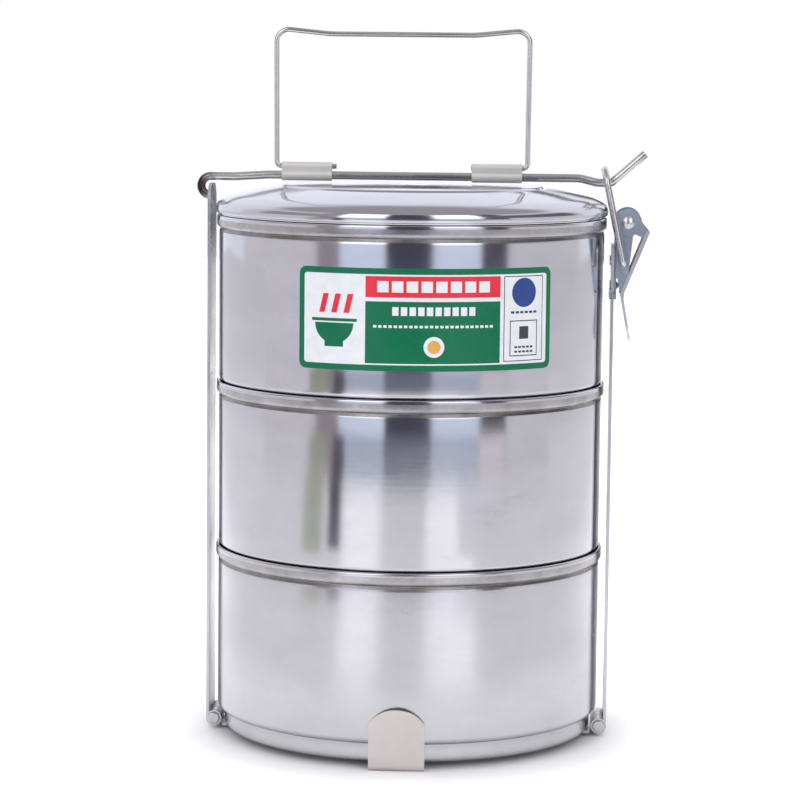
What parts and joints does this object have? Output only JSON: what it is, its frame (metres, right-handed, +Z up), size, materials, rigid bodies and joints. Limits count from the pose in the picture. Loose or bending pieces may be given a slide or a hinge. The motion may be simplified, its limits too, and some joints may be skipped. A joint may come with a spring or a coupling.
{
  "type": "tiffin carrier",
  "caption": "Tiered stainless steel tiffin carrier: nested round containers and a domed lid in a strap frame with a hinged crossbar, wire bail handle and over-centre loop latch.",
  "frame": {"origin": "middle of the underside of the base straps, on the floor, on the stack's axis", "axes": "+Z up through the stack; +X to the latch side; -Y to the front, where the label is"},
  "size_m": [0.1885, 0.1662, 0.2942],
  "materials": {
    "polished_steel": "polished with fine horizontal spinning lines and scratches",
    "satin_strap": "satin rolled strip",
    "wire_steel": "drawn wire, bright",
    "sleeve_steel": "satin sheet",
    "rivet_steel": "upset rivet",
    "zinc_plate": "bluish bright zinc plating",
    "label_film": "glossy printed film, plain colour blocks"
  },
  "bodies": {
    "base": {"base_strap_long": "satin_strap", "base_strap_cross": "satin_strap", "base_rivets": "rivet_steel", "left_hinge_pin": "rivet_steel", "right_hinge_pin": "rivet_steel"},
    "bottom_tier": {"bottom_container": "polished_steel"},
    "middle_tier": {"middle_container": "polished_steel"},
    "top_tier": {"top_container": "polished_steel", "label": "label_film"},
    "lid": {"lid": "polished_steel"},
    "left_strip": {"left_side_strip": "satin_strap"},
    "crossbar": {"crossbar": "wire_steel", "left_handle_sleeve": "sleeve_steel", "right_handle_sleeve": "sleeve_steel"},
    "handle": {"handle_bail": "wire_steel"},
    "right_strip": {"right_side_strip": "satin_strap", "latch_bracket": "zinc_plate", "bracket_band": "sleeve_steel", "bracket_rivets": "rivet_steel", "lever_pivot_rivet": "rivet_steel"},
    "lever": {"lever_cheeks": "zinc_plate", "lever_plate": "satin_strap"},
    "link": {"latch_link": "wire_steel"}
  },
  "joints": [
    {"name": "crossbar_lift", "type": "hinge", "parent": "left_strip", "child": "crossbar", "pos_m": [-0.0841, 0, 0.2281], "axis": [0, -1, 0], "range_deg": [0, 100]},
    {"name": "handle_fold", "type": "hinge", "parent": "crossbar", "child": "handle", "pos_m": [-0.0044, 0, 0.23675], "axis": [1, 0, 0], "range_deg": [-90, 90]},
    {"name": "left_strip_splay", "type": "hinge", "parent": "base", "child": "left_strip", "pos_m": [-0.081, 0, 0.0044], "axis": [0, -1, 0], "range_deg": [0, 10.2]},
    {"name": "right_strip_splay", "type": "hinge", "parent": "base", "child": "right_strip", "pos_m": [0.081, 0, 0.0044], "axis": [0, 1, 0], "range_deg": [0, 10.2]},
    {"name": "lever_pivot", "type": "hinge", "parent": "right_strip", "child": "lever", "pos_m": [0.0896, 0, 0.2153], "axis": [0, -1, 0], "range_deg": [0, 130.5]},
    {"name": "link_pivot", "type": "hinge", "parent": "lever", "child": "link", "pos_m": [0.088, 0, 0.198], "axis": [0, 1, 0], "range_deg": [0, 301]},
    {"name": "lid_lift", "type": "slide", "parent": "base", "child": "lid", "axis": [0, 0, 1], "range_m": [0, 0.036]},
    {"name": "top_tier_lift", "type": "slide", "parent": "base", "child": "top_tier", "axis": [0, 0, 1], "range_m": [0, 0.026]},
    {"name": "middle_tier_lift", "type": "slide", "parent": "base", "child": "middle_tier", "axis": [0, 0, 1], "range_m": [0, 0.016]},
    {"name": "bottom_tier_lift", "type": "slide", "parent": "base", "child": "bottom_tier", "axis": [0, 0, 1], "range_m": [0, 0.006]}
  ],
  "couplings": [
    {"joint": "left_strip_splay", "follows": "crossbar_lift", "ratio": 0.1},
    {"joint": "right_strip_splay", "follows": "crossbar_lift", "ratio": 0.1},
    {"joint": "lever_pivot", "follows": "crossbar_lift", "ratio": 1.3},
    {"joint": "link_pivot", "follows": "crossbar_lift", "ratio": 3},
    {"joint": "lid_lift", "follows": "crossbar_lift", "m_per_rad": 0.0206},
    {"joint": "top_tier_lift", "follows": "crossbar_lift", "m_per_rad": 0.0148},
    {"joint": "middle_tier_lift", "follows": "crossbar_lift", "m_per_rad": 0.0091},
    {"joint": "bottom_tier_lift", "follows": "crossbar_lift", "m_per_rad": 0.0034}
  ]
}
